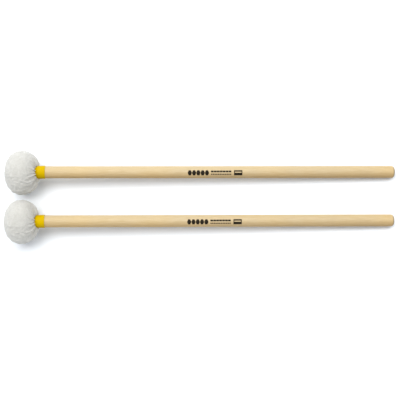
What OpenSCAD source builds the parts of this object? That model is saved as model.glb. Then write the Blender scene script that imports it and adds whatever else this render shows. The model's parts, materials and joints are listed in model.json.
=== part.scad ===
// A pair of timpani mallets, lying side by side on a table.
// Each mallet is drawn along its own axis, with +X from the front of the head to the butt.
// It is then tipped so that it rests on its head and on the edge of its butt.

/* [Pair] */
// Distance between the axes of the two shafts
axis_gap = 48.2; // [45:0.1:120]
// How far the second mallet lies ahead of the first, towards the heads
stagger = 0.7; // [-20:0.1:20]

/* [Shaft] */
// Length of one mallet, from the front of the head to the butt
total_len = 386; // [300:1:420]
// Diameter of the shaft
shaft_d = 12; // [11.5:0.1:12.5]
// Radius of the rounded edge of the butt
butt_edge_r = 3; // [1:0.1:4]
// How much longer the rounded butt is than its edge radius, which domes its face
butt_dome = 0.4; // [0.1:0.05:1]
// Diameter of the tenon that is glued into the core of the head
tenon_d = 8; // [7:0.1:8.4]

/* [Head] */
// Widest diameter of the fleece head
head_d = 43; // [40:0.5:45]
// Distance from the front of the head to its widest ring
head_front = 17.2; // [16.8:0.1:18]
// Distance from the widest ring to where the back would close without the shaft
head_back = 16.6; // [16.2:0.1:17.4]
// Fullness of the outline, where 2 is an ellipse and more is squarer
head_fullness = 2.2; // [2:0.05:2.5]
// Thickness of the fleece over the front and the sides
cover_t = 4; // [3.5:0.1:4.5]
// Diameter of the wooden core
core_d = 26; // [22:0.5:26.5]
// Length of the wooden core
core_len = 16.5; // [12:0.5:17]

/* [Collar] */
// Distance from the front of the head to the head end of the collar
collar_start = 30; // [29.9:0.1:31]
// Distance from the front of the head to the straight end of the collar
collar_end = 40; // [38.5:0.1:44]
// Widest diameter of the collar
collar_d = 12.8; // [12.6:0.1:13.2]
// Wall of the collar
collar_t = 0.6; // [0.5:0.05:0.65]
// Length over which the collar draws in towards the head
collar_taper = 3.7; // [2:0.1:4]
// Diameter of the thread that binds the fleece
thread_d = 0.6; // [0.4:0.05:0.65]
// Number of turns of that thread
thread_turns = 6; // [3:1:6]

/* [Hidden] */
$fn = 96;

// Smoothness: the number of straight steps in each drawn curve
curve_steps = 18;

// Gap that glue or a loose layer leaves between two pieces
glue_gap = 0.05;

// Radii
shaft_r = shaft_d / 2;
tenon_r = tenon_d / 2;
head_r = head_d / 2;
core_r = core_d / 2;
neck_bore_r = tenon_r + glue_gap;

// The fleece rolls in from a lip round the shaft, down to the gathered neck
lip_r = 8;
lip_angle = acos(pow(lip_r / head_r, head_fullness / 2));
lip_x = head_front + head_back * pow(sin(lip_angle), 2 / head_fullness);
dimple_x = 29.9;
dimple_r = 6;
neck_r = 4.9;
neck_end = 36.8;

// The hollow in the cover that the core and the felts fill
hollow_r = head_r - cover_t;
hollow_front = head_front - cover_t;
hollow_back = 10.8;

// The core and the tenon in it
core_start = 8;
core_end = core_start + core_len;
core_chamfer = 1;
tenon_start = core_start + 2;
tenon_chamfer = 0.5;
shoulder_x = 37;

// The collar grips a seat behind the shoulder and covers the thread in front of it
collar_r = collar_d / 2;
collar_bore_r = collar_r - collar_t;
collar_mouth_r = 5.6;
seat_r = collar_bore_r - glue_gap;

// The turns of thread lie half over each other
thread_start = 33;
thread_pitch = 0.5;
thread_r = neck_r + thread_d / 2 + glue_gap;

// The domed face of the butt is an arc that meets the rounded edge smoothly
butt_len = butt_edge_r + butt_dome;
edge_centre_r = shaft_r - butt_edge_r;
edge_centre_x = total_len - butt_len;
dome_r = (pow(butt_len, 2) - pow(butt_edge_r, 2) + pow(edge_centre_r, 2)) / (2 * butt_dome);
dome_angle = asin(edge_centre_r / (dome_r - butt_edge_r));

function reversed(list) = [for (i = [len(list) - 1 : -1 : 0]) list[i]];

// Front half of the head, from the axis out to the widest ring
function front_curve(radius, length) = [
    for (i = [0 : curve_steps])
        let (a = 90 * i / curve_steps)
        [
            radius * pow(sin(a), 2 / head_fullness),
            head_front - length * pow(cos(a), 2 / head_fullness)
        ]
];

// Back half of the head, from the widest ring in to an angle on its curve
function back_curve(radius, length, last_angle) = [
    for (i = [1 : curve_steps])
        let (a = last_angle * i / curve_steps)
        [
            radius * pow(cos(a), 2 / head_fullness),
            head_front + length * pow(sin(a), 2 / head_fullness)
        ]
];

// The lip, rolling in to the bottom of the dimple round the collar
dimple_curve = [
    for (i = [1 : curve_steps / 2])
        let (a = 90 * i / (curve_steps / 2))
        [
            lip_r - (lip_r - dimple_r) * sin(a),
            dimple_x + (lip_x - dimple_x) * cos(a)
        ]
];

outer_curve = concat(
    front_curve(head_r, head_front),
    back_curve(head_r, head_back, lip_angle),
    dimple_curve
);

hollow_angle = acos(pow(neck_bore_r / hollow_r, head_fullness / 2));
hollow_curve = concat(
    front_curve(hollow_r, hollow_front),
    back_curve(hollow_r, hollow_back, hollow_angle)
);

// The rounded edge of the butt, and then the dome of its face
butt_curve = concat(
    [
        for (i = [0 : curve_steps / 2])
            let (a = 90 - (90 - dome_angle) * i / (curve_steps / 2))
            [edge_centre_r + butt_edge_r * sin(a), edge_centre_x + butt_edge_r * cos(a)]
    ],
    [
        for (i = [1 : curve_steps / 3])
            let (a = dome_angle * (1 - i / (curve_steps / 3)))
            [dome_r * sin(a), total_len - dome_r + dome_r * cos(a)]
    ]
);

// How far below the mallet's own origin a tipped curve reaches, as points of [radius, length]
function reach_down(curve, tip) = max([for (p = curve) p[1] * sin(tip) + p[0] * cos(tip)]);

// The tip at which the head and the butt reach down equally far, found by repeated steps
head_to_butt = edge_centre_x - head_front;
function level_tip(tip, steps) =
    steps == 0 ? tip
    : let (step = reach_down(outer_curve, tip) - reach_down(butt_curve, tip))
      level_tip(tip + asin(step / head_to_butt), steps - 1);

tip = level_tip(2, 8);
rest_z = reach_down(outer_curve, tip);

// Where the tipped mallet starts and ends along X, so that the pair is centred
front_x = min([for (p = outer_curve) p[1] * cos(tip) - p[0] * sin(tip)]);
butt_x = max([for (p = butt_curve) p[1] * cos(tip) + p[0] * sin(tip)]);
centre_x = (front_x + butt_x - stagger) / 2;

module turned() {
    rotate([0, 90, 0]) rotate_extrude() children();
}

module in_place_a() {
    translate([-centre_x, axis_gap / 2, rest_z]) rotate([0, tip, 0]) children();
}

module in_place_b() {
    translate([-centre_x - stagger, -axis_gap / 2, rest_z]) rotate([0, tip, 0]) children();
}

// Half section of the hollow, kept a little clear of the fleece
module hollow_section() {
    polygon(concat(
        front_curve(hollow_r - glue_gap, hollow_front - glue_gap),
        back_curve(hollow_r - glue_gap, hollow_back - glue_gap, 90)
    ));
}

// Turned dowel: rounded butt, seat for the collar, shoulder and tenon
module shaft() {
    color("burlywood")
    turned()
    polygon(concat(
        [
            [0, tenon_start],
            [tenon_r - tenon_chamfer, tenon_start],
            [tenon_r, tenon_start + tenon_chamfer],
            [tenon_r, shoulder_x],
            [seat_r, shoulder_x],
            [seat_r, collar_end],
            [shaft_r, collar_end]
        ],
        butt_curve
    ));
}

// Turned wooden core with a blind bore for the tenon
module head_core() {
    bore_start = tenon_start - glue_gap;
    color("tan")
    turned()
    polygon([
        [0, core_start],
        [core_r - core_chamfer, core_start],
        [core_r, core_start + core_chamfer],
        [core_r, core_end - core_chamfer],
        [core_r - core_chamfer, core_end],
        [neck_bore_r, core_end],
        [neck_bore_r, bore_start],
        [0, bore_start]
    ]);
}

// Strip of felt wound round the core
module felt_wrap() {
    color("ivory")
    turned()
    intersection() {
        hollow_section();
        translate([core_r + glue_gap, core_start]) square([head_r, core_len]);
    }
}

// Felt pad in front of the core, where the head strikes
module front_felt() {
    color("ivory")
    turned()
    intersection() {
        hollow_section();
        square([head_r, core_start - glue_gap]);
    }
}

// Felt ring behind the core, round the tenon
module back_felt() {
    color("ivory")
    turned()
    intersection() {
        hollow_section();
        translate([neck_bore_r, core_end + glue_gap]) square([head_r, hollow_back]);
    }
}

// Fleece drawn over the head and gathered into a neck round the tenon
module fleece_cover() {
    color("whitesmoke")
    turned()
    polygon(concat(
        outer_curve,
        [[neck_r, dimple_x], [neck_r, neck_end], [neck_bore_r, neck_end]],
        reversed(hollow_curve)
    ));
}

// Thread wound round the gathered neck
module binding_thread() {
    color("white")
    turned()
    for (i = [0 : thread_turns - 1])
        translate([thread_r, thread_start + i * thread_pitch]) circle(d = thread_d, $fn = 24);
}

// Plastic sleeve over the thread and the shoulder, drawn in towards the head
module collar() {
    taper_end = collar_start + collar_taper;
    function taper(wall_r, mouth_r) = [
        for (i = [0 : curve_steps / 2])
            let (u = i / (curve_steps / 2))
            [
                mouth_r + (wall_r - mouth_r) * (1 - cos(180 * u)) / 2,
                collar_start + collar_taper * u
            ]
    ];
    color("gold")
    turned()
    polygon(concat(
        taper(collar_r, collar_mouth_r),
        [[collar_r, collar_end], [collar_bore_r, collar_end]],
        reversed(taper(collar_bore_r, collar_mouth_r - collar_t))
    ));
}

in_place_a() shaft();  // shaft_a
in_place_a() head_core();  // head_core_a
in_place_a() felt_wrap();  // felt_wrap_a
in_place_a() front_felt();  // front_felt_a
in_place_a() back_felt();  // back_felt_a
in_place_a() fleece_cover();  // fleece_cover_a
in_place_a() binding_thread();  // binding_thread_a
in_place_a() collar();  // collar_a
in_place_b() shaft();  // shaft_b
in_place_b() head_core();  // head_core_b
in_place_b() felt_wrap();  // felt_wrap_b
in_place_b() front_felt();  // front_felt_b
in_place_b() back_felt();  // back_felt_b
in_place_b() fleece_cover();  // fleece_cover_b
in_place_b() binding_thread();  // binding_thread_b
in_place_b() collar();  // collar_b
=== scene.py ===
"""The looks of a pair of timpani mallets: fleece heads, yellow collars, wooden shafts."""
import json
import math
import random

import bmesh
import bpy
import numpy as np
from mathutils import Matrix, Vector, noise


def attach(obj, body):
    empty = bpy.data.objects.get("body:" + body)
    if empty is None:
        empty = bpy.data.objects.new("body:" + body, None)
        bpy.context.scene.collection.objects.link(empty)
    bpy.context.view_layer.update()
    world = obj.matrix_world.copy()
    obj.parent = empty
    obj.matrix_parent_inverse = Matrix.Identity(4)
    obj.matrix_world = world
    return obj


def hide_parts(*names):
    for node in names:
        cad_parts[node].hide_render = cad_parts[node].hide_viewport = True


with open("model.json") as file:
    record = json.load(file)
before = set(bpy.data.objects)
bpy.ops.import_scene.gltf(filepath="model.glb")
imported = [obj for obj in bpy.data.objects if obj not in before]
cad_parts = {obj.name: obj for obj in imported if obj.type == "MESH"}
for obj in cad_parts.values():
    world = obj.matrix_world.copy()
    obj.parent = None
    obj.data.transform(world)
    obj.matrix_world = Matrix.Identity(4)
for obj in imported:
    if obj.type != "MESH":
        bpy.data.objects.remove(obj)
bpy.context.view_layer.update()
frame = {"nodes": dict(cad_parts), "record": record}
scene = bpy.context.scene

MM = 0.001
SIDES = ("a", "b")

# Shape of the fleece head, in mm along the mallet's own axis from the front of the head
HEAD_FULLNESS = 2.2
HEAD_BACK = 16.6
LIP_R = 8.0
DIMPLE_X = 29.9
DIMPLE_R = 6.0
NECK_R = 4.9
BORE_R = 4.05
HOLLOW_BACK = 10.8
COVER_T = 4.0
# The back of the head is pressed in above the shaft, between these angles from the top
VALLEY_DEPTH = 3.2
VALLEY_FLOOR = 0.9
VALLEY_EDGE = 1.7
# A small bulge on the -Y side of the back
BULGE_HEIGHT = 0.7
BULGE_R = 15.0
BULGE_WIDTH = 3.0
BULGE_ANGLE = 1.5 * math.pi
BULGE_SPREAD = 0.7
# The stuffing has settled a little to the -Y side of the shaft, all but its gathered end
LOPSIDED = 0.45
LOPSIDED_UNTIL = 24.0
# The nap stands out in front of the skin, so the skin starts a little behind the CAD's front
FRONT_SETTLED = 0.5
FRONT_DEPTH = 15.0


# ---------------------------------------------------------------- the mallet's own frame

def mallet_frame(side):
    """Matrix from the mallet's own frame, in mm, to the row frame: +X runs from the head to the butt."""
    grip = next(m for m in frame["record"]["mounts"] if m["name"] == "grip_" + side)
    along = Vector(grip["axis"]).normalized()
    across = Vector((0, 1, 0))
    up = along.cross(across)
    on_axis = Vector(grip["pos_m"])
    cover = frame["nodes"]["fleece_cover_" + side].data.vertices
    front = min(v.co.dot(along) for v in cover)
    origin = on_axis + along * (front - on_axis.dot(along))
    turn = Matrix((along, across, up)).transposed().to_4x4()
    return Matrix.Translation(origin) @ turn @ Matrix.Scale(MM, 4)


def span(node, to_row):
    """First and last point of a CAD node along the mallet's axis, and its largest radius, in mm."""
    inverse = to_row.inverted()
    points = np.array([inverse @ v.co for v in frame["nodes"][node].data.vertices])
    radii = np.hypot(points[:, 1], points[:, 2])
    return points[:, 0].min(), points[:, 0].max(), radii.max(), points[radii.argmax(), 0]


# ---------------------------------------------------------------- mesh helpers

def grid_mesh(name, rings, front_pole=None, closed_along=False):
    """A mesh from rings of points round an axis, open at its ends unless it has a pole or is closed."""
    count, segments = rings.shape[:2]
    points = [tuple(p) for p in rings.reshape(-1, 3)]
    faces = []
    for i in range(count if closed_along else count - 1):
        here, there = i * segments, (i + 1) % count * segments
        for j in range(segments):
            k = (j + 1) % segments
            faces.append((here + j, here + k, there + k, there + j))
    if front_pole is not None:
        tip = len(points)
        points.append(front_pole)
        faces += [(tip, (j + 1) % segments, j) for j in range(segments)]
    mesh = bpy.data.meshes.new(name)
    mesh.from_pydata(points, [], faces)
    mesh.validate()
    mesh.update()
    return mesh


def add_object(name, mesh):
    obj = bpy.data.objects.new(name, mesh)
    scene.collection.objects.link(obj)
    mesh.polygons.foreach_set("use_smooth", [True] * len(mesh.polygons))
    return obj


def get_points(mesh):
    flat = np.zeros(len(mesh.vertices) * 3)
    mesh.vertices.foreach_get("co", flat)
    return flat.reshape(-1, 3)


def set_points(mesh, points):
    mesh.vertices.foreach_set("co", np.asarray(points, float).ravel())
    mesh.update()


def get_normals(mesh):
    flat = np.zeros(len(mesh.vertices) * 3)
    mesh.vertex_normals.foreach_get("vector", flat)
    return flat.reshape(-1, 3)


def smoothstep(low, high, value):
    t = np.clip((value - low) / (high - low), 0, 1)
    return t * t * (3 - 2 * t)


def evaluated_mesh(obj):
    """The object's mesh with its modifiers applied."""
    graph = bpy.context.evaluated_depsgraph_get()
    return bpy.data.meshes.new_from_object(obj.evaluated_get(graph))


# ---------------------------------------------------------------- the fleece head

SEGMENTS = 192
FRONT_RINGS = 26
BACK_RINGS = 30
DIMPLE_RINGS = 8
PLEATS = 22
# Long shallow folds lie where the fleece is slack, above and to the -Y side
SLACK_FOLDS = 16
SLACK_ANGLE = 1.72 * math.pi
SLACK_SPREAD = 0.8


def full(value):
    """A sine or cosine raised so that the outline is fuller than an ellipse."""
    return max(0, value) ** (2 / HEAD_FULLNESS)


def head_curve(head_r, widest, angle):
    """Points of the head's outline at one angle round the shaft, from the front pole to the dimple."""
    turned = abs((angle + math.pi) % (2 * math.pi) - math.pi)
    back = HEAD_BACK - VALLEY_DEPTH * (1 - smoothstep(VALLEY_FLOOR, VALLEY_EDGE, turned))
    lip_angle = math.acos((LIP_R / head_r) ** (HEAD_FULLNESS / 2))
    lip_x = widest + back * full(math.sin(lip_angle))
    from_bulge = abs(angle - BULGE_ANGLE) / BULGE_SPREAD
    points = []
    for i in range(1, FRONT_RINGS + 1):
        a = math.pi / 2 * i / FRONT_RINGS
        points.append((widest - widest * full(math.cos(a)), head_r * full(math.sin(a))))
    for i in range(1, BACK_RINGS + 1):
        a = lip_angle * i / BACK_RINGS
        radius = head_r * full(math.cos(a))
        bulge = BULGE_HEIGHT * math.exp(-((radius - BULGE_R) / BULGE_WIDTH) ** 2 - from_bulge ** 2)
        points.append((widest + back * full(math.sin(a)) + bulge * math.sin(a), radius + 0.4 * bulge))
    for i in range(1, DIMPLE_RINGS + 1):
        a = math.pi / 2 * i / DIMPLE_RINGS
        x = DIMPLE_X + (lip_x - DIMPLE_X) * math.cos(a)
        points.append((x, LIP_R - (LIP_R - DIMPLE_R) * math.sin(a)))
    return points


def head_rings(head_r, widest):
    rings = np.zeros((FRONT_RINGS + BACK_RINGS + DIMPLE_RINGS, SEGMENTS, 3))
    for j in range(SEGMENTS):
        angle = 2 * math.pi * j / SEGMENTS
        curve = np.array(head_curve(head_r, widest, angle))
        rings[:, j, 0] = curve[:, 0]
        rings[:, j, 1] = curve[:, 1] * math.sin(angle)
        rings[:, j, 2] = curve[:, 1] * math.cos(angle)
    return rings


def crease(angle, line, radius, width):
    """Strength from 0 to 1 of a crease along a line of angles, width in mm."""
    away = np.abs((angle - line + math.pi) % (2 * math.pi) - math.pi) * radius
    return np.exp(-(away / width) ** 2)


def gather_depths(draw, angle, radius, gathered):
    """Creases that start on the side of the head and deepen towards the collar, in mm."""
    for i in range(PLEATS):
        middle = 2 * math.pi * (i + draw.uniform(-0.3, 0.3)) / PLEATS
        slack = math.exp(-((middle - SLACK_ANGLE) / SLACK_SPREAD) ** 2)
        start = draw.uniform(0.0, 0.5) - 0.75 * slack
        lean = draw.uniform(-0.3, 0.3)
        deepest = draw.uniform(0.8, 1.6) * (1 + 0.2 * slack)
        line = middle + lean * (1 - gathered[:, None]) ** 2
        grow = smoothstep(start, 1.1, gathered)[:, None]
        width = 0.6 + 0.5 * (1 - grow)
        yield deepest * grow ** 1.3 * crease(angle, line, radius, width)


def slack_depths(draw, angle, radius, gathered):
    """Shallow folds of a limited length where the fleece is slack, in mm."""
    for _ in range(SLACK_FOLDS):
        middle = SLACK_ANGLE + draw.uniform(-0.8, 0.7)
        centre, length = draw.uniform(-0.35, 0.45), draw.uniform(0.25, 0.5)
        lean = draw.uniform(-0.5, 0.5)
        line = middle + lean * (gathered[:, None] - centre)
        along = np.exp(-((gathered - centre) / length) ** 2)[:, None]
        yield draw.uniform(0.25, 0.5) * along * crease(angle, line, radius, 0.65)


def pleat_depth(rings):
    """How far the gathers pull each point of the rings in, in mm: creases that fade towards the front."""
    draw = random.Random(4)
    angle = np.arctan2(rings[:, :, 1], rings[:, :, 2])
    radius = np.hypot(rings[:, :, 1], rings[:, :, 2])
    # 0 at the widest ring, 1 at the lip, negative on the front
    gathered = (np.arange(len(rings)) - FRONT_RINGS) / BACK_RINGS
    depth = np.zeros(rings.shape[:2])
    for depths in (gather_depths, slack_depths):
        for one in depths(draw, angle, radius, gathered):
            depth = np.maximum(depth, one)
    ending = 1 - smoothstep(1.05, 1 + DIMPLE_RINGS / BACK_RINGS, gathered)
    return depth * ending[:, None]


CLOTH_SCALE = 0.02  # the cloth solver works best on a head about a metre wide
CLOTH_FRAMES = 16
CLOTH_REACH = 0.7  # mm that the cloth may move a point


def relax_as_cloth(mesh, held):
    """Settles the fleece between its gathers by cloth simulation. held is 1 where a point can't move."""
    before = get_points(mesh)
    body = add_object("relaxing_fleece", mesh.copy())
    set_points(body.data, before * CLOTH_SCALE)
    add_held_group(body, held)
    add_cloth(body)
    for step in range(1, CLOTH_FRAMES + 1):
        scene.frame_set(step)
    after = get_points(evaluated_mesh(body)) / CLOTH_SCALE
    bpy.data.objects.remove(body)
    scene.frame_set(1)
    moved = after - before
    normals = get_normals(mesh)
    outward = (moved * normals).sum(1)
    # The pressure swells the whole head: only what differs from that is kept
    moved -= normals * (np.median(outward[held < 0.5]) * (1 - held))[:, None]
    length = np.linalg.norm(moved, axis=1)[:, None]
    set_points(mesh, before + moved * np.minimum(1, CLOTH_REACH / np.maximum(length, 1e-9)))


def add_held_group(body, held):
    group = body.vertex_groups.new(name="held")
    levels = np.round(held, 2)
    for level in np.unique(levels):
        members = np.flatnonzero(levels == level)
        group.add([int(m) for m in members], float(level), "REPLACE")


def add_cloth(body):
    """Cloth with a little pressure inside it and no gravity, pinned by the held group."""
    cloth = body.modifiers.new("fleece", "CLOTH")
    cloth.settings.quality = 6
    cloth.settings.mass = 0.3
    cloth.settings.tension_stiffness = 12
    cloth.settings.compression_stiffness = 12
    cloth.settings.shear_stiffness = 6
    cloth.settings.bending_stiffness = 0.8
    cloth.settings.vertex_group_mass = "held"
    cloth.settings.pin_stiffness = 1.0
    cloth.settings.use_pressure = True
    cloth.settings.uniform_pressure_force = 6
    cloth.settings.shrink_min = -0.04
    cloth.settings.effector_weights.gravity = 0
    cloth.collision_settings.use_collision = False
    cloth.point_cache.frame_start = 1
    cloth.point_cache.frame_end = CLOTH_FRAMES


def nap_height(points):
    """Small clumps of the fleece's nap, in mm."""
    coarse, fine = 0.3, 1.0
    return np.array([
        0.12 * noise.fractal(Vector(p) * coarse, 1.0, 2.0, 2)
        + 0.05 * noise.fractal(Vector(p) * fine, 0.8, 2.0, 2)
        for p in points
    ])


def fleece_skin(head_r, widest):
    """The outer surface of the fleece, from its front pole to the bottom of the dimple, in mm."""
    rings = head_rings(head_r, widest)
    skin = grid_mesh("fleece_skin", rings, front_pole=(0, 0, 0))
    normals = get_normals(skin)
    depth = pleat_depth(rings).ravel()
    points = get_points(skin)
    points[:-1] -= normals[:-1] * depth[:, None]
    set_points(skin, points)

    loosely = 0.25
    ring_of = np.repeat(np.arange(len(rings)), SEGMENTS)
    held = loosely + (1 - loosely) * (ring_of >= len(rings) - 2)
    held = np.maximum(held, np.clip(depth * 0.7, 0, 0.95))
    relax_as_cloth(skin, np.append(held, loosely))
    return skin


def finish_skin(skin):
    """Refines the relaxed skin, sets it a little to one side, and gives it its nap."""
    body = add_object("refining_fleece", skin)
    body.modifiers.new("refine", "SUBSURF").levels = 1
    fine = evaluated_mesh(body)
    bpy.data.objects.remove(body)
    points = get_points(fine)
    points[:, 0] += FRONT_SETTLED * (1 - smoothstep(0, FRONT_DEPTH, points[:, 0]))
    fade = 1 - smoothstep(LOPSIDED_UNTIL, DIMPLE_X, points[:, 0])
    points[:, 1] -= LOPSIDED * fade
    set_points(fine, points)
    calm = smoothstep(DIMPLE_R, LIP_R, np.hypot(points[:, 1], points[:, 2]))
    calm = np.maximum(calm, points[:, 0] < DIMPLE_X - 5)
    points += get_normals(fine) * (nap_height(points) * calm)[:, None]
    set_points(fine, points)
    return fine


def inner_curve(neck_end, hollow_r, hollow_front, widest):
    """Points of the neck and the hollow, from the dimple to just short of the hollow's front pole."""
    steps = 14
    hollow_angle = math.acos((BORE_R / hollow_r) ** (HEAD_FULLNESS / 2))
    curve = [(DIMPLE_X, NECK_R), (DIMPLE_X + 2, NECK_R), (neck_end - 1, NECK_R), (neck_end, NECK_R)]
    curve += [(neck_end, BORE_R), (DIMPLE_X, BORE_R)]
    for i in range(steps, -1, -1):
        a = hollow_angle * i / steps
        curve.append((widest + HOLLOW_BACK * full(math.sin(a)), hollow_r * full(math.cos(a))))
    for i in range(steps - 1, 0, -1):
        a = math.pi / 2 * i / steps
        curve.append((widest - hollow_front * full(math.cos(a)), hollow_r * full(math.sin(a))))
    return curve


def close_cover(skin, neck_end, head_r, widest):
    """Joins the skin to the neck under the collar and to the hollow round the core."""
    bm = bmesh.new()
    bm.from_mesh(skin)
    loop = order_loop([e for e in bm.edges if e.is_boundary])
    angles = [math.atan2(v.co.y, v.co.z) for v in loop]
    hollow_front = widest - COVER_T
    previous = loop
    for x, r in inner_curve(neck_end, head_r - COVER_T, hollow_front, widest):
        ring = [bm.verts.new((x, r * math.sin(a), r * math.cos(a))) for a in angles]
        join_rings(bm, previous, ring)
        previous = ring
    tip = bm.verts.new((widest - hollow_front, 0, 0))
    for j, here in enumerate(previous):
        bm.faces.new((here, previous[(j + 1) % len(previous)], tip))
    bmesh.ops.recalc_face_normals(bm, faces=bm.faces)
    bm.to_mesh(skin)
    bm.free()
    return skin


def order_loop(edges):
    """The vertices of one closed loop of edges, in order."""
    neighbours = {}
    for e in edges:
        for v in e.verts:
            neighbours.setdefault(v, []).append(e.other_vert(v))
    start = max(neighbours, key=lambda v: (round(v.co.z, 6), v.co.y))
    loop, here = [start], max(neighbours[start], key=lambda v: v.co.y)
    while here is not start:
        loop.append(here)
        ahead = [v for v in neighbours[here] if v is not loop[-2]]
        here = ahead[0]
    return loop


def join_rings(bm, first, second):
    count = len(first)
    for j in range(count):
        k = (j + 1) % count
        bm.faces.new((first[j], first[k], second[k], second[j]))


def settle(mesh, to_row):
    """Puts a mesh in mm into the row frame, pressed flat where it rests on the table."""
    mesh.transform(to_row)
    points = get_points(mesh)
    points[:, 2] = np.maximum(points[:, 2], 0)
    set_points(mesh, points)


# ---------------------------------------------------------------- the nap's loose fibres

FIBRES = 8000
FIBRE_SHORTEST, FIBRE_LONGEST = 0.4, 1.0
FIBRE_R = 0.045
FIBRE_LEAN = 0.8
FIBRE_BEND = 0.22
FIBRE_SEEDS = {"a": 11, "b": 12}


def nap_mesh(name, skin, seed):
    """Short loose fibres that stand out of the fleece: each one a thin closed spike, in mm."""
    draw = np.random.default_rng(seed)
    points, normals = get_points(skin), get_normals(skin)
    areas = np.array([p.area for p in skin.polygons])
    picked = draw.choice(len(areas), FIBRES, p=areas / areas.sum())
    corners = np.array([list(skin.polygons[i].vertices)[:3] for i in picked])
    weights = draw.dirichlet((1, 1, 1), FIBRES)[:, :, None]
    roots = (points[corners] * weights).sum(1)
    out = (normals[corners] * weights).sum(1)
    ways = out + draw.normal(0, FIBRE_LEAN, (FIBRES, 3))
    ways /= np.linalg.norm(ways, axis=1)[:, None]
    lengths = draw.uniform(FIBRE_SHORTEST, FIBRE_LONGEST, FIBRES)[:, None]
    helper = np.where(np.abs(ways[:, :1]) < 0.8, (1.0, 0, 0), (0, 1.0, 0))
    across = np.cross(ways, helper)
    across /= np.linalg.norm(across, axis=1)[:, None]
    other = np.cross(ways, across)
    middles = roots + ways * lengths * 0.5
    tips = roots + ways * lengths + across * lengths * draw.normal(0, FIBRE_BEND, (FIBRES, 1))
    vertices = []
    for thickness, centres in ((FIBRE_R, roots - out * 0.1), (FIBRE_R * 0.8, middles)):
        for turn in (0, 2 * math.pi / 3, 4 * math.pi / 3):
            vertices.append(centres + thickness * (across * math.cos(turn) + other * math.sin(turn)))
    vertices.append(tips)
    stacked = np.stack(vertices, 1)
    # Points 0 to 2 are the root, 3 to 5 the middle and 6 the tip of one fibre
    pattern = [(2, 1, 0), (0, 1, 4, 3), (1, 2, 5, 4), (2, 0, 3, 5), (3, 4, 6), (4, 5, 6), (5, 3, 6)]
    per = stacked.shape[1]
    faces = [tuple(i * per + v for v in face) for i in range(FIBRES) for face in pattern]
    mesh = bpy.data.meshes.new(name)
    mesh.from_pydata(stacked.reshape(-1, 3).tolist(), [], faces)
    mesh.update()
    return mesh


# ---------------------------------------------------------------- the collar

COLLAR_MOUTH_R = 5.6
COLLAR_WALL = 0.55
COLLAR_TAPER = 3.7
COLLAR_EDGE_R = 0.16
COLLAR_SEGMENTS = 128
THREAD_START, THREAD_END, THREAD_TURNS = 32.7, 35.8, 6
THREAD_RELIEF = 0.02  # half the depth of the grooves between the turns, in mm


def collar_outline(start, end, radius):
    """Lengths along the mallet and radii of the sleeve's outer face, up to its rounded end."""
    lengths = np.linspace(start, end, 44)
    drawn = 0.5 - 0.5 * np.cos(math.pi * np.clip((lengths - start) / COLLAR_TAPER, 0, 1))
    outer = COLLAR_MOUTH_R + (radius - COLLAR_MOUTH_R) * drawn
    over = (lengths > THREAD_START) & (lengths < THREAD_END)
    phase = (lengths - THREAD_START) / (THREAD_END - THREAD_START) * THREAD_TURNS * 2 * math.pi
    outer = outer - THREAD_RELIEF * over * (1 - np.cos(phase))
    return list(zip(lengths, outer))


def collar_mesh(name, start, end, radius):
    """A shrunk plastic sleeve, drawn in at the head and following the thread under it, in mm."""
    outline = collar_outline(start, end, radius)
    edge, edge_r = COLLAR_EDGE_R, radius - COLLAR_EDGE_R
    profile = list(outline)
    for a in (0.5, 1.0, 1.5):
        profile.append((end + edge * math.sin(a) - edge, edge_r + edge * math.cos(a)))
    profile += [(end, radius - COLLAR_WALL)]
    profile += [(x, r - COLLAR_WALL) for x, r in outline[-2:0:-4]]
    profile += [(start, COLLAR_MOUTH_R - COLLAR_WALL), (start - edge * 0.5, COLLAR_MOUTH_R - 0.18)]
    angles = np.arange(COLLAR_SEGMENTS) * 2 * math.pi / COLLAR_SEGMENTS
    rings = np.zeros((len(profile), COLLAR_SEGMENTS, 3))
    for i, (x, r) in enumerate(profile):
        shrunk = r * (1 + 0.004 * np.sin(2 * angles + 0.6) * smoothstep(end, start, x))
        rings[i, :, 0] = x
        rings[i, :, 1] = shrunk * np.sin(angles)
        rings[i, :, 2] = shrunk * np.cos(angles)
    return grid_mesh(name, rings, closed_along=True)


# ---------------------------------------------------------------- the printed mark

def ink_shape(points, faces, middle, across, half_height, half_length, shaft_r):
    """One closed patch of ink on the shaft. half_length gives its half length at each height, in mm."""
    rows = 7
    sunk, proud = -0.03, 0.04
    first = len(points)
    for i in range(rows):
        v = half_height * (2 * i / (rows - 1) - 1)
        angle = (across + v) / shaft_r
        reach = max(0.02, half_length(v / half_height))
        for x, above in ((-reach, sunk), (reach, sunk), (reach, proud), (-reach, proud)):
            radius = shaft_r + above
            points.append((middle + x, radius * math.sin(angle), radius * math.cos(angle)))
    for i in range(rows - 1):
        here, there = first + 4 * i, first + 4 * (i + 1)
        for j in range(4):
            k = (j + 1) % 4
            faces.append((here + j, there + j, there + k, here + k))
    last = first + 4 * (rows - 1)
    faces.append((first + 3, first + 2, first + 1, first))
    faces.append((last, last + 1, last + 2, last + 3))


# Where the mark lies: mm from the front of the head, and mm to the -Y side of the shaft's upper line
MARK_START = 179.7
MARK_ACROSS = 0.9
LOZENGES, LOZENGE_PITCH = 5, 4.22
LOZENGE_HALF_HEIGHT, LOZENGE_HALF_LEN = 2.6, 2.08
RULES_AFTER, RULES_LEN = 22.8, 20.4
BLOCK_AFTER, BLOCK_HALF_LEN = 49.8, 4.1
# Each rule: mm across the shaft, number of dashes, half height, and how much of its pitch a dash fills
RULES = ((1.4, 7, 0.85, 0.9), (-1.4, 12, 0.6, 0.7))


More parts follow.
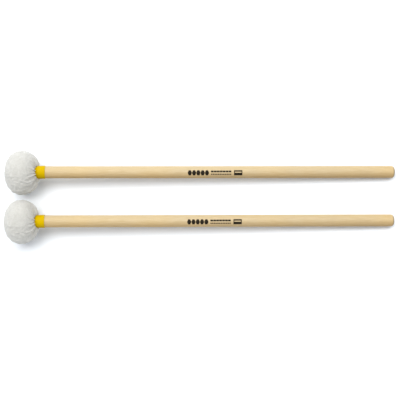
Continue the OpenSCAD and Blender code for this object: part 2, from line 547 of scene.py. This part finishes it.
def mark_mesh(name, start, shaft_r):
    """A generic printed mark: a row of lozenges, two dashed rules and a block with a window, in mm."""
    points, faces = [], []

    def bar(middle, across, half_height, half_length):
        ink_shape(points, faces, middle, across - MARK_ACROSS, half_height, lambda _: half_length, shaft_r)

    def lozenge(middle):
        def reach(v):
            return LOZENGE_HALF_LEN * (1 - 0.5 * abs(v))
        ink_shape(points, faces, middle, -MARK_ACROSS, LOZENGE_HALF_HEIGHT, reach, shaft_r)

    for i in range(LOZENGES):
        lozenge(start + LOZENGE_PITCH * (i + 0.5))
    for across, dashes, half_height, share in RULES:
        pitch = RULES_LEN / dashes
        for i in range(dashes):
            bar(start + RULES_AFTER + pitch * (i + 0.5), across, half_height, pitch * share / 2)
    block = start + BLOCK_AFTER
    bar(block, 1.9, 0.7, BLOCK_HALF_LEN)
    bar(block, -1.25, 1.35, BLOCK_HALF_LEN)
    for end in (-1, 1):
        bar(block + end * (BLOCK_HALF_LEN - 0.4), 0.65, 0.6, 0.4)
    mesh = bpy.data.meshes.new(name)
    mesh.from_pydata(points, [], faces)
    mesh.update()
    return mesh


# ---------------------------------------------------------------- materials

WOOD_LIGHT = (0.58, 0.462, 0.28)
WOOD_DARK = (0.463, 0.34, 0.172)
CORE_LIGHT = (0.60, 0.40, 0.22)
CORE_DARK = (0.45, 0.28, 0.14)
# The end grain, dark and partly painted shade on the butt's rounded edge, comes in between these distances
# from the butt, in mm
SHADED_END_GRAIN_FROM, SHADED_END_GRAIN_TO = 2.4, 1.2
SHADED_END_GRAIN_LIGHT = (0.34, 0.25, 0.135)
SHADED_END_GRAIN_DARK = (0.22, 0.155, 0.075)
FLEECE = (0.57, 0.555, 0.513)
FLEECE_SHADE = (0.52, 0.505, 0.463)
FELT = (0.76, 0.73, 0.64)
FELT_SHADE = (0.68, 0.65, 0.56)
# Each tint comes in over a stretch of the mallet's own X or Y, in metres. The last two stand in for
# light: the wood is browner, and the fleece lighter, on the -Y side.
# The first tint darkens the wood towards the butt.
BUTT_DARKENING_FROM, BUTT_DARKENING_TINT = 0.17, (0.94, 0.91, 0.85)
SHADED_WOOD, SHADED_WOOD_TINT = (0.001, -0.005), (0.93, 0.84, 0.7)
LIT_FLEECE, LIT_FLEECE_TINT = (-0.006, -0.021), (1.17, 1.17, 1.17)


def new_material(name):
    material = bpy.data.materials.new(name)
    material.use_nodes = True
    tree = material.node_tree
    return material, tree, tree.nodes["Principled BSDF"]


def node(tree, kind, inputs=None, **settings):
    made = tree.nodes.new(kind)
    for key, value in settings.items():
        setattr(made, key, value)
    for key, value in (inputs or {}).items():
        if isinstance(value, bpy.types.NodeSocket):
            tree.links.new(value, made.inputs[key])
        else:
            made.inputs[key].default_value = value
    return made


def ramp(tree, factor, stops):
    made = node(tree, "ShaderNodeValToRGB", {"Fac": factor})
    elements = made.color_ramp.elements
    while len(elements) < len(stops):
        elements.new(0.5)
    for element, (place, colour) in zip(elements, stops):
        element.position = place
        element.color = (*colour, 1)
    return made.outputs["Color"]


def math_node(tree, operation, first, second=0.0):
    return node(tree, "ShaderNodeMath", {0: first, 1: second}, operation=operation).outputs[0]


def raised(tree, wave):
    """A sine wave moved from -1..1 to 0..1."""
    return node(tree, "ShaderNodeMath", {0: wave, 1: 0.5, 2: 0.5}, operation="MULTIPLY_ADD").outputs[0]


def mix_colour(tree, factor, first, second, blend="MIX"):
    made = node(tree, "ShaderNodeMix", data_type="RGBA", blend_type=blend)
    for key, value in ((0, factor), (6, first), (7, second)):
        if isinstance(value, bpy.types.NodeSocket):
            tree.links.new(value, made.inputs[key])
        else:
            made.inputs[key].default_value = value
    return made.outputs[2]


def noise_node(tree, vector, scale, detail=3.0, roughness=0.5):
    inputs = {"Vector": vector, "Scale": scale, "Detail": detail, "Roughness": roughness}
    return node(tree, "ShaderNodeTexNoise", inputs).outputs["Fac"]


def bump(tree, height, strength, distance):
    inputs = {"Height": height, "Strength": strength, "Distance": distance}
    return node(tree, "ShaderNodeBump", inputs).outputs["Normal"]


def mallet_coordinates(tree, to_row):
    """Object coordinates turned into the mallet's own frame, in metres."""
    place = node(tree, "ShaderNodeTexCoord").outputs["Object"]
    tip = math.asin(-to_row.col[0].z / MM)
    spot = node(tree, "ShaderNodeMapping", {"Vector": place}, vector_type="TEXTURE")
    spot.inputs["Location"].default_value = to_row.translation
    spot.inputs["Rotation"].default_value = (0, tip, 0)
    return spot.outputs["Vector"]


def stretched(tree, vector, scale):
    return node(tree, "ShaderNodeMapping", {"Vector": vector, "Scale": scale}).outputs["Vector"]


def tinted(tree, base, value, start, end, tint):
    """Multiplies a colour by a tint that comes in as a coordinate goes from start to end, in metres."""
    fade = node(tree, "ShaderNodeMapRange", {"Value": value, "From Min": start, "From Max": end})
    dyed = mix_colour(tree, 1.0, base, (*tint, 1), "MULTIPLY")
    return mix_colour(tree, fade.outputs["Result"], base, dyed)


def shaded_end_grain(tree, place):
    """Growth rings on the face of the butt, round a pith that lies beside the shaft, in dark tones that are
    partly painted shade on the butt's rounded edge.
    """
    off_pith = node(tree, "ShaderNodeVectorMath", {0: place, 1: (0, 0.011, 0.004)}, operation="SUBTRACT")
    flat = node(tree, "ShaderNodeVectorMath", {0: off_pith.outputs[0], 1: (0, 1, 1)}, operation="MULTIPLY")
    from_pith = node(tree, "ShaderNodeVectorMath", {0: flat.outputs[0]}, operation="LENGTH")
    rings = math_node(tree, "SINE", math_node(tree, "MULTIPLY", from_pith.outputs["Value"], 5200.0))
    return ramp(tree, raised(tree, rings), [(0.1, SHADED_END_GRAIN_DARK), (0.8, SHADED_END_GRAIN_LIGHT)])


def long_grain(tree, place, fibres, fleck, light, dark):
    """The wood's colour along the shaft: fibres, faint growth lines, warmer patches and short flecks."""
    growth = noise_node(tree, stretched(tree, place, (3, 260, 260)), 1.0, 3.0, 0.6)
    growth = raised(tree, math_node(tree, "SINE", math_node(tree, "MULTIPLY", growth, 38.0)))
    patches = noise_node(tree, stretched(tree, place, (22, 60, 60)), 1.0, 2.0, 0.5)
    middle = tuple((a + b) / 2 for a, b in zip(light, dark))
    base = ramp(tree, fibres, [(0.25, dark), (0.6, light)])
    base = mix_colour(tree, math_node(tree, "MULTIPLY", growth, 0.28), base, (*middle, 1))
    warm = mix_colour(tree, ramp(tree, patches, [(0.35, (0, 0, 0)), (0.7, (1, 1, 1))]),
                      (0.96, 0.97, 1.0, 1), (1.03, 1.0, 0.93, 1))
    base = mix_colour(tree, 1.0, base, warm, "MULTIPLY")
    return mix_colour(tree, math_node(tree, "MULTIPLY", fleck, 0.3), base, (*dark, 1))


def wood_material(name, to_row, butt_x, light, dark):
    """Fine light hardwood, darker towards the butt and browner on the -Y side as painted shade, with a dark
    end grain that is partly painted shade.
    """
    material, tree, shader = new_material(name)
    place = mallet_coordinates(tree, to_row)
    fibres = noise_node(tree, stretched(tree, place, (90, 2400, 2400)), 1.0, 4.0, 0.6)
    fleck_place = stretched(tree, place, (420, 2600, 2600))
    flecks = node(tree, "ShaderNodeTexVoronoi", {"Vector": fleck_place, "Scale": 1.0})
    fleck = math_node(tree, "LESS_THAN", flecks.outputs["Distance"], 0.26)
    base = long_grain(tree, place, fibres, fleck, light, dark)

    along, across, _ = node(tree, "ShaderNodeSeparateXYZ", {"Vector": place}).outputs
    # Darker towards the butt.
    base = tinted(tree, base, along, BUTT_DARKENING_FROM, butt_x * MM, BUTT_DARKENING_TINT)
    # Painted shade: the wood is browner on the mallet's -Y side.
    base = tinted(tree, base, across, *SHADED_WOOD, SHADED_WOOD_TINT)
    # The dark end grain over the last millimetres is partly painted shade on the rounded edge of the butt.
    end = node(tree, "ShaderNodeMapRange", {"Value": along,
               "From Min": (butt_x - SHADED_END_GRAIN_FROM) * MM, "From Max": (butt_x - SHADED_END_GRAIN_TO) * MM})
    base = mix_colour(tree, end.outputs["Result"], base, shaded_end_grain(tree, place))
    tree.links.new(base, shader.inputs["Base Color"])
    rough = node(tree, "ShaderNodeMapRange", {"Value": fibres, "To Min": 0.42, "To Max": 0.58})
    tree.links.new(rough.outputs["Result"], shader.inputs["Roughness"])
    height = math_node(tree, "SUBTRACT", fibres, math_node(tree, "MULTIPLY", fleck, 0.3))
    tree.links.new(bump(tree, height, 0.25, 0.00012), shader.inputs["Normal"])
    shader.inputs["Specular IOR Level"].default_value = 0.15
    return material


def fabric_material(name, colour, shade, clump_scale, depth, sheen, to_row=None):
    """Felted wool or fleece: mottled colour, a clumped nap and a soft sheen.

    With a mallet's to_row, the cloth is lighter on the mallet's -Y side: painted light.
    """
    material, tree, shader = new_material(name)
    place = node(tree, "ShaderNodeTexCoord").outputs["Object"]
    mottle = noise_node(tree, place, clump_scale * 0.25, 4.0, 0.6)
    clumps = noise_node(tree, place, clump_scale, 5.0, 0.7)
    hairs = noise_node(tree, place, clump_scale * 5, 3.0, 0.7)
    base = ramp(tree, mottle, [(0.3, shade), (0.65, colour)])
    fleck = ramp(tree, clumps, [(0.3, (0.93, 0.93, 0.925)), (0.62, (1, 1, 1))])
    base = mix_colour(tree, 1.0, base, fleck, "MULTIPLY")
    # Painted light: the fleece is lighter on the mallet's -Y side.
    if to_row:
        split = node(tree, "ShaderNodeSeparateXYZ", {"Vector": mallet_coordinates(tree, to_row)})
        base = tinted(tree, base, split.outputs["Y"], *LIT_FLEECE, LIT_FLEECE_TINT)
    tree.links.new(base, shader.inputs["Base Color"])
    height = math_node(tree, "ADD", clumps, math_node(tree, "MULTIPLY", hairs, 0.5))
    tree.links.new(bump(tree, height, 0.6, depth), shader.inputs["Normal"])
    shader.inputs["Roughness"].default_value = 1.0
    shader.inputs["Specular IOR Level"].default_value = 0.1
    shader.inputs["Sheen Weight"].default_value = sheen
    shader.inputs["Sheen Roughness"].default_value = 0.6
    shader.inputs["Subsurface Weight"].default_value = 0.45
    shader.inputs["Subsurface Radius"].default_value = (1, 1, 1)
    shader.inputs["Subsurface Scale"].default_value = 2.2 * MM
    return material


def fibre_material(name, colour):
    """Loose fibres of the nap, slightly uneven in tone."""
    material, tree, shader = new_material(name)
    place = node(tree, "ShaderNodeTexCoord").outputs["Object"]
    tint = noise_node(tree, place, 900.0, 2.0)
    base = ramp(tree, tint, [(0.3, tuple(c * 0.92 for c in colour)), (0.7, colour)])
    tree.links.new(base, shader.inputs["Base Color"])
    shader.inputs["Roughness"].default_value = 1.0
    shader.inputs["Specular IOR Level"].default_value = 0.1
    return material


def thread_material(name):
    """Twisted thread: fine slanting ply lines."""
    material, tree, shader = new_material(name)
    place = node(tree, "ShaderNodeTexCoord").outputs["Object"]
    slanted = node(tree, "ShaderNodeMapping", {"Vector": place, "Rotation": (0.5, 0.3, 0.7)})
    plies = node(tree, "ShaderNodeTexWave", {"Vector": slanted.outputs["Vector"], "Scale": 900.0,
                 "Distortion": 1.5, "Detail": 2.0})
    base = ramp(tree, plies.outputs["Fac"], [(0.1, (0.45, 0.42, 0.35)), (0.7, (0.72, 0.69, 0.6))])
    tree.links.new(base, shader.inputs["Base Color"])
    tree.links.new(bump(tree, plies.outputs["Fac"], 0.6, 0.0001), shader.inputs["Normal"])
    shader.inputs["Roughness"].default_value = 0.7
    return material


def collar_material(name):
    """Smooth yellow shrink sleeve: a slightly cloudy colour and a faint orange-peel."""
    material, tree, shader = new_material(name)
    place = node(tree, "ShaderNodeTexCoord").outputs["Object"]
    cloud = noise_node(tree, place, 160.0, 3.0)
    peel = noise_node(tree, place, 1500.0, 2.0)
    base = ramp(tree, cloud, [(0.3, (0.52, 0.335, 0.0)), (0.7, (0.595, 0.39, 0.0))])
    tree.links.new(base, shader.inputs["Base Color"])
    shader.inputs["Specular IOR Level"].default_value = 0.03
    rough = node(tree, "ShaderNodeMapRange", {"Value": cloud, "To Min": 0.42, "To Max": 0.55})
    tree.links.new(rough.outputs["Result"], shader.inputs["Roughness"])
    tree.links.new(bump(tree, peel, 0.08, 0.0002), shader.inputs["Normal"])
    return material


def ink_material(name):
    """Black printing ink, a little worn into the grain."""
    material, tree, shader = new_material(name)
    place = node(tree, "ShaderNodeTexCoord").outputs["Object"]
    worn = noise_node(tree, stretched(tree, place, (300, 2500, 2500)), 1.0, 3.0)
    base = ramp(tree, worn, [(0.35, (0.01, 0.007, 0.004)), (0.75, (0.035, 0.026, 0.014))])
    tree.links.new(base, shader.inputs["Base Color"])
    shader.inputs["Roughness"].default_value = 0.6
    shader.inputs["Specular IOR Level"].default_value = 0.08
    return material


# ---------------------------------------------------------------- making the mallets

felt_cloth = fabric_material("pressed_felt", FELT, FELT_SHADE, 1400.0, 0.0002, 0.1)
nap_fibre = fibre_material("nap_fibre", FLEECE)
thread_ply = thread_material("thread_ply")
collar_plastic = collar_material("collar_sleeve")
ink = ink_material("ink")


def set_material(obj, material):
    obj.data.materials.clear()
    obj.data.materials.append(material)


def add_piece(name, mesh, side, material):
    piece = add_object(name, mesh)
    set_material(piece, material)
    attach(piece, "mallet_" + side)
    return piece


def make_skin():
    to_row = mallet_frame("a")
    _, neck_end, head_r, widest = span("fleece_cover_a", to_row)
    skin = fleece_skin(head_r, widest)
    return finish_skin(skin), neck_end, head_r, widest


skin, neck_end, head_r, widest = make_skin()

for side in SIDES:
    to_row = mallet_frame(side)
    nodes = {name[:-2]: obj for name, obj in frame["nodes"].items() if name.endswith("_" + side)}

    cover = close_cover(skin.copy(), neck_end, head_r, widest)
    settle(cover, to_row)
    cloth = fabric_material("fleece_cloth_" + side, FLEECE, FLEECE_SHADE, 900.0, 0.0005, 0.22, to_row)
    fleece = add_piece("fleece_head_" + side, cover, side, cloth)
    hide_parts("fleece_cover_" + side)

    fibres = nap_mesh("nap_" + side, skin, FIBRE_SEEDS[side])
    settle(fibres, to_row)
    add_piece("nap_" + side, fibres, side, nap_fibre)

    start, end, radius, _ = span("collar_" + side, to_row)
    sleeve = collar_mesh("collar_sleeve_" + side, start, end, radius)
    sleeve.transform(to_row)
    collar = add_piece("collar_sleeve_" + side, sleeve, side, collar_plastic)
    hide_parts("collar_" + side)

    _, butt_x, shaft_r, _ = span("shaft_" + side, to_row)
    mark = mark_mesh("print_" + side, MARK_START, shaft_r)
    mark.transform(to_row)
    add_piece("print_" + side, mark, side, ink)

    maple = wood_material("shaft_maple_" + side, to_row, butt_x, WOOD_LIGHT, WOOD_DARK)
    beech = wood_material("core_beech_" + side, to_row, butt_x, CORE_LIGHT, CORE_DARK)
    set_material(nodes["shaft"], maple)
    set_material(nodes["head_core"], beech)
    set_material(nodes["binding_thread"], thread_ply)
    for felt in ("felt_wrap", "front_felt", "back_felt"):
        set_material(nodes[felt], felt_cloth)

bpy.data.meshes.remove(skin)


# ---------------------------------------------------------------- floor, light and camera

FLOOR_HALF = 6.0
FLOOR_BELOW = 0.0001


def make_floor():
    """A wide sheet of white paper, just under the mallets."""
    half = FLOOR_HALF
    corners = [(-half, -half, 0), (half, -half, 0), (half, half, 0), (-half, half, 0)]
    mesh = bpy.data.meshes.new("floor")
    mesh.from_pydata(corners, [], [(0, 1, 2, 3)])
    floor = add_object("floor", mesh)
    floor.location.z = -FLOOR_BELOW
    material, tree, shader = new_material("floor_paper")
    place = node(tree, "ShaderNodeTexCoord").outputs["Object"]
    grain = noise_node(tree, place, 800.0, 2.0)
    tree.links.new(ramp(tree, grain, [(0.3, (0.915, 0.935, 0.955)), (0.7, (0.925, 0.945, 0.965))]),
                   shader.inputs["Base Color"])
    shader.inputs["Roughness"].default_value = 1.0
    shader.inputs["Specular IOR Level"].default_value = 0.0
    set_material(floor, material)


def add_sun(name, energy, tilt, towards, spread):
    """A broad distant light: tilt is from overhead, towards is from +X, spread is its width, in degrees."""
    data = bpy.data.lights.new(name, "SUN")
    data.energy = energy
    data.color = (0.98, 0.99, 1.0)
    data.angle = math.radians(spread)
    sun = bpy.data.objects.new(name, data)
    scene.collection.objects.link(sun)
    tilt, towards = math.radians(tilt), math.radians(towards)
    level = math.sin(tilt)
    to_light = Vector((level * math.cos(towards), level * math.sin(towards), math.cos(tilt)))
    sun.rotation_mode = "QUATERNION"
    sun.rotation_quaternion = to_light.to_track_quat("Z", "Y")


def make_room():
    """A pale room that is white low on its walls and dimmer above."""
    world = bpy.data.worlds.new("studio")
    world.use_nodes = True
    tree = world.node_tree
    background = tree.nodes["Background"]
    direction = node(tree, "ShaderNodeTexCoord").outputs["Generated"]
    split = node(tree, "ShaderNodeSeparateXYZ", {"Vector": direction})
    walls = ramp(tree, split.outputs["Z"], [(0.04, (1.0, 1.0, 1.0)), (0.14, (0.45, 0.47, 0.5))])
    tree.links.new(walls, background.inputs["Color"])
    background.inputs["Strength"].default_value = 1.0
    scene.world = world


def make_light():
    """Three softboxes on the +Y side."""
    add_sun("softbox_overhead", 2.35, 27.5, 133, 38)
    add_sun("softbox_right", 1.25, 34, 54, 28)
    add_sun("softbox_left", 0.3, 72, 110, 40)


def make_camera():
    """Straight above the pair, framed by the width that it sees at the shafts' height."""
    height, shaft_height, frame_width = 1.1, 0.012, 0.3961
    data = bpy.data.cameras.new("camera")
    data.sensor_width = 36
    data.lens = data.sensor_width * (height - shaft_height) / frame_width
    camera = bpy.data.objects.new("camera", data)
    scene.collection.objects.link(camera)
    camera.location = (-0.0006, -0.00345, height)
    camera.rotation_euler = (0, 0, math.radians(-0.12))
    scene.camera = camera


make_floor()
make_room()
make_light()
make_camera()
scene.view_settings.view_transform = "Standard"
